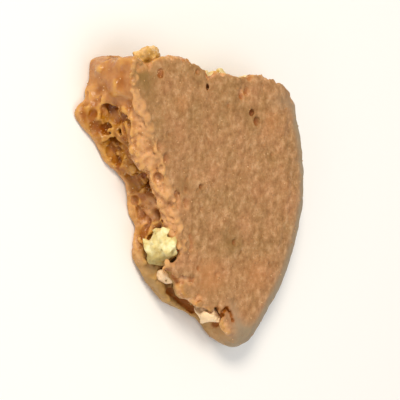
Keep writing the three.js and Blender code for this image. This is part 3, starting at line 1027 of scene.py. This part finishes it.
def crumb_tree():
    """Geometry Nodes: small angular crumbs that lie on a surface, most on its broken sides"""
    tree = bpy.data.node_groups.new("clinging_crumbs", "GeometryNodeTree")
    sockets = (
        ("Surface", "Geometry"), ("Crumbs per area", "Float"), ("Smallest", "Float"),
        ("Largest", "Float"), ("Lowest", "Float"), ("Seed", "Int"), ("Finish", "Material"),
    )
    for name, kind in sockets:
        tree.interface.new_socket(name, in_out="INPUT", socket_type="NodeSocket" + kind)
    tree.interface.new_socket("Crumbs", in_out="OUTPUT", socket_type="NodeSocketGeometry")
    given = add(tree, "NodeGroupInput").outputs

    # More crumbs on bare sugar than on skin, and none near the tray
    sugar = add(tree, "GeometryNodeInputNamedAttribute", {"Name": "sticky"}, data_type="FLOAT")
    share = add(tree, "ShaderNodeMapRange", {"Value": sugar, "To Min": 0.1})
    place = add(tree, "GeometryNodeInputPosition")
    height = add(tree, "ShaderNodeSeparateXYZ", {"Vector": place}).outputs["Z"]
    clear = add(tree, "ShaderNodeMath", {0: height, 1: given["Lowest"]}, operation="GREATER_THAN")
    share = add(tree, "ShaderNodeMath", {0: share, 1: clear}, operation="MULTIPLY")
    density = add(
        tree, "ShaderNodeMath", {0: share, 1: given["Crumbs per area"]}, operation="MULTIPLY"
    )
    places = add(
        tree, "GeometryNodeDistributePointsOnFaces",
        {"Mesh": given["Surface"], "Density": density, "Seed": given["Seed"]},
    )
    crumb = add(tree, "GeometryNodeMeshIcoSphere", {"Radius": 1.0, "Subdivisions": 1})
    sizes = add(
        tree, "FunctionNodeRandomValue",
        {"Min": given["Smallest"], "Max": given["Largest"], "Seed": given["Seed"]},
        data_type="FLOAT_VECTOR",
    )
    full_turn = 6.28  # in radians
    turns = add(
        tree, "FunctionNodeRandomValue", {"Max": (full_turn,) * 3, "Seed": given["Seed"]},
        data_type="FLOAT_VECTOR",
    )
    crumbs = add(
        tree, "GeometryNodeInstanceOnPoints",
        {"Points": places, "Instance": crumb, "Rotation": turns, "Scale": sizes},
    )
    joined = add(tree, "GeometryNodeRealizeInstances", {"Geometry": crumbs})
    coloured = add(
        tree, "GeometryNodeSetMaterial", {"Geometry": joined, "Material": given["Finish"]}
    )
    add(tree, "NodeGroupOutput", {"Crumbs": coloured})
    return tree


def scatter_crumbs(slab, material):
    """Crumbs of sugar that cling to the slab, as one plain mesh"""
    carrier = new_object("crumb_carrier", slab.data)
    modifier = carrier.modifiers.new("crumbs", "NODES")
    modifier.node_group = crumb_tree()
    inputs = {
        "Crumbs per area": 1.0e6,  # on a square metre of bare sugar
        "Smallest": 0.07 * MM,
        "Largest": 0.2 * MM,
        "Lowest": 0.5 * MM,
        "Seed": 5,
        "Finish": material,
    }
    for socket in modifier.node_group.interface.items_tree:
        if socket.name in inputs:
            modifier[socket.identifier] = inputs[socket.name]
    depsgraph = bpy.context.evaluated_depsgraph_get()
    mesh = bpy.data.meshes.new_from_object(carrier.evaluated_get(depsgraph))
    bpy.data.objects.remove(carrier)
    mesh.name = "clinging_crumbs"
    return new_object("clinging_crumbs", mesh)


def make_floor():
    """Plain square, 3 metres wide"""
    half = 1.5
    corners = [(x * half, y * half, 0) for x, y in ((-1, -1), (1, -1), (1, 1), (-1, 1))]
    mesh = bpy.data.meshes.new("floor")
    mesh.from_pydata(corners, [], [(0, 1, 2, 3)])
    floor = new_object("floor", mesh)
    floor.data.materials.append(floor_material())


def set_studio():
    """Pale surroundings and three soft round lights that look at the piece"""
    world = bpy.data.worlds.new("studio")
    bpy.context.scene.world = world
    world.use_nodes = True
    surroundings = world.node_tree.nodes["Background"].inputs
    surroundings["Color"].default_value = colour("#f8f6f3")
    surroundings["Strength"].default_value = 0.5
    bpy.context.scene.view_settings.view_transform = "Standard"
    target = Vector((0, 0, 0.006))
    for name, place, size, power, tint in (
        ("key", (-0.36, -0.3, 0.46), 0.22, 2.75, "#fff4e2"),
        ("top", (0.2, 0.1, 0.6), 0.5, 0.9, "#ffffff"),
        ("fill", (0.3, -0.5, 0.2), 0.3, 0.5, "#ffffff"),
    ):
        light = bpy.data.lights.new(name, "AREA")
        light.shape = "DISK"
        light.size = size
        light.energy = power
        light.color = colour(tint)[:3]
        lamp = new_object(name, light)
        lamp.location = place
        lamp.rotation_euler = (target - Vector(place)).to_track_quat("-Z", "Y").to_euler()


def set_camera():
    """Looks down along +Y at the photograph's angle, with +X at the foot of the picture"""
    camera = bpy.data.cameras.new("camera")
    camera.lens, camera.sensor_width = 200, 36  # in millimetres
    camera.clip_start = 0.01
    distance, target = 0.45, Vector((0, 0, 0.005))
    back = Vector((0, -math.cos(VIEW), math.sin(VIEW)))
    up = Vector((-1, 0, 0))
    turn = Matrix((up.cross(back), up, back)).transposed().to_4x4()
    view = new_object("camera", camera)
    view.matrix_world = Matrix.Translation(target + back * distance) @ turn
    bpy.context.scene.camera = view


set_camera()
slab = make_slab()
slab.data.materials.append(brittle_material())
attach(slab, "root")
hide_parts("brittle")

kernel = kernel_material()
for number, (name, looks) in enumerate(NUTS.items()):
    nut = make_nut(name, looks, NUT_SEED + 5 * number)
    nut.data.materials.append(kernel)
    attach(nut, "root")
    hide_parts(name)

crumbs = scatter_crumbs(slab, crumb_material())
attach(crumbs, "root")

make_floor()
set_studio()
